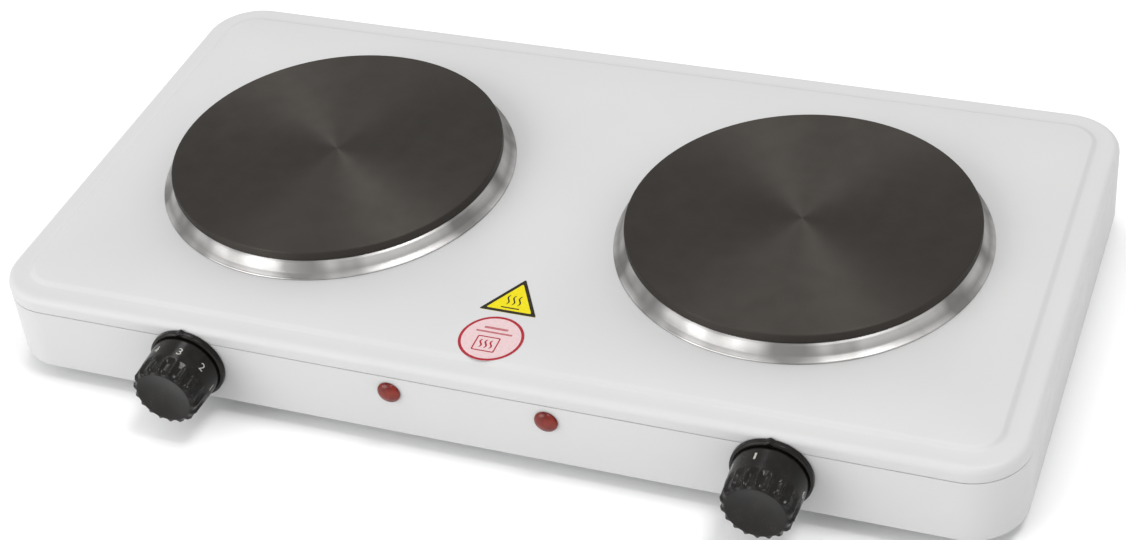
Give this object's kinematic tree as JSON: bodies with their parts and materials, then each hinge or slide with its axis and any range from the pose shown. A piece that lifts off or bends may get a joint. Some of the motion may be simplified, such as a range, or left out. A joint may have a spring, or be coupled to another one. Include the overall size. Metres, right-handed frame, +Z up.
{
  "type": "double hot plate",
  "caption": "Low white enamelled countertop cooker with round cast-iron hot plates in steel rings, front dial knobs and pilot lamps.",
  "frame": {"origin": "centre of the overall box, on the surface that the feet stand on", "axes": "+X to the right along the length, +Y to the back, +Z up; the dials face -Y"},
  "size_m": [0.4632, 0.2772, 0.0596],
  "materials": {
    "white_enamel": "smooth white enamel, soft gloss",
    "galvanised_sheet": "galvanised sheet, dull",
    "cast_iron_plate": "turned cast iron with dark heat-proof coating",
    "brushed_ring": "spun stainless steel",
    "coil_sheath": "oxidised heater sheath",
    "mineral_fibre": "pressed mineral fibre",
    "plated_fastener": "zinc plated",
    "ceramic_body": "unglazed steatite",
    "black_plastic": "moulded heat-resistant plastic, satin",
    "brass_shaft": "turned brass",
    "amber_lens": "translucent red-orange plastic",
    "bulb_glass": "clear glass",
    "lead_red": "silicone insulation",
    "lead_grey": "glass-fibre sleeving",
    "lead_blue": "silicone insulation",
    "black_rubber": "matt moulded rubber",
    "label_yellow": "printed film",
    "label_white": "printed film"
  },
  "bodies": {
    "chassis": {"top_cover": "white_enamel", "base_shell": "white_enamel", "bottom_plate": "galvanised_sheet", "hotplate_left": "cast_iron_plate", "spill_ring_left": "brushed_ring", "heating_coil_left": "coil_sheath", "insulation_pad_left": "mineral_fibre", "heat_shield_left": "galvanised_sheet", "clamp_bar_left": "galvanised_sheet", "centre_stud_left": "plated_fastener", "clamp_nut_left": "plated_fastener", "plate_terminal_left": "ceramic_body", "dial_bezel_left": "black_plastic", "thermostat_left": "ceramic_body", "thermostat_nut_left": "plated_fastener", "lamp_lens_left": "amber_lens", "neon_bulb_left": "bulb_glass", "live_lead_left": "lead_red", "load_lead_left": "lead_grey", "neutral_lead_left": "lead_blue", "hotplate_right": "cast_iron_plate", "spill_ring_right": "brushed_ring", "heating_coil_right": "coil_sheath", "insulation_pad_right": "mineral_fibre", "heat_shield_right": "galvanised_sheet", "clamp_bar_right": "galvanised_sheet", "centre_stud_right": "plated_fastener", "clamp_nut_right": "plated_fastener", "plate_terminal_right": "ceramic_body", "dial_bezel_right": "black_plastic", "thermostat_right": "ceramic_body", "thermostat_nut_right": "plated_fastener", "lamp_lens_right": "amber_lens", "neon_bulb_right": "bulb_glass", "live_lead_right": "lead_red", "load_lead_right": "lead_grey", "neutral_lead_right": "lead_blue", "cord_gland": "black_rubber", "mains_terminal": "ceramic_body", "earth_screw": "brass_shaft", "heat_label": "label_yellow", "caution_label": "label_white", "foot_front_left": "black_rubber", "foot_screw_front_left": "plated_fastener", "cover_screw_front_left": "plated_fastener", "foot_back_left": "black_rubber", "foot_screw_back_left": "plated_fastener", "cover_screw_back_left": "plated_fastener", "foot_front_right": "black_rubber", "foot_screw_front_right": "plated_fastener", "cover_screw_front_right": "plated_fastener", "foot_back_right": "black_rubber", "foot_screw_back_right": "plated_fastener", "cover_screw_back_right": "plated_fastener"},
    "dial_left": {"dial_knob_left": "black_plastic", "dial_shaft_left": "brass_shaft"},
    "dial_right": {"dial_knob_right": "black_plastic", "dial_shaft_right": "brass_shaft"}
  },
  "joints": [
    {"name": "dial_left_turn", "type": "hinge", "parent": "chassis", "child": "dial_left", "pos_m": [-0.1326, -0.114, 0.0274], "axis": [0, 1, 0], "range_deg": [-165, 93]},
    {"name": "dial_right_turn", "type": "hinge", "parent": "chassis", "child": "dial_right", "pos_m": [0.1326, -0.114, 0.0274], "axis": [0, 1, 0], "range_deg": [0, 258]}
  ]
}
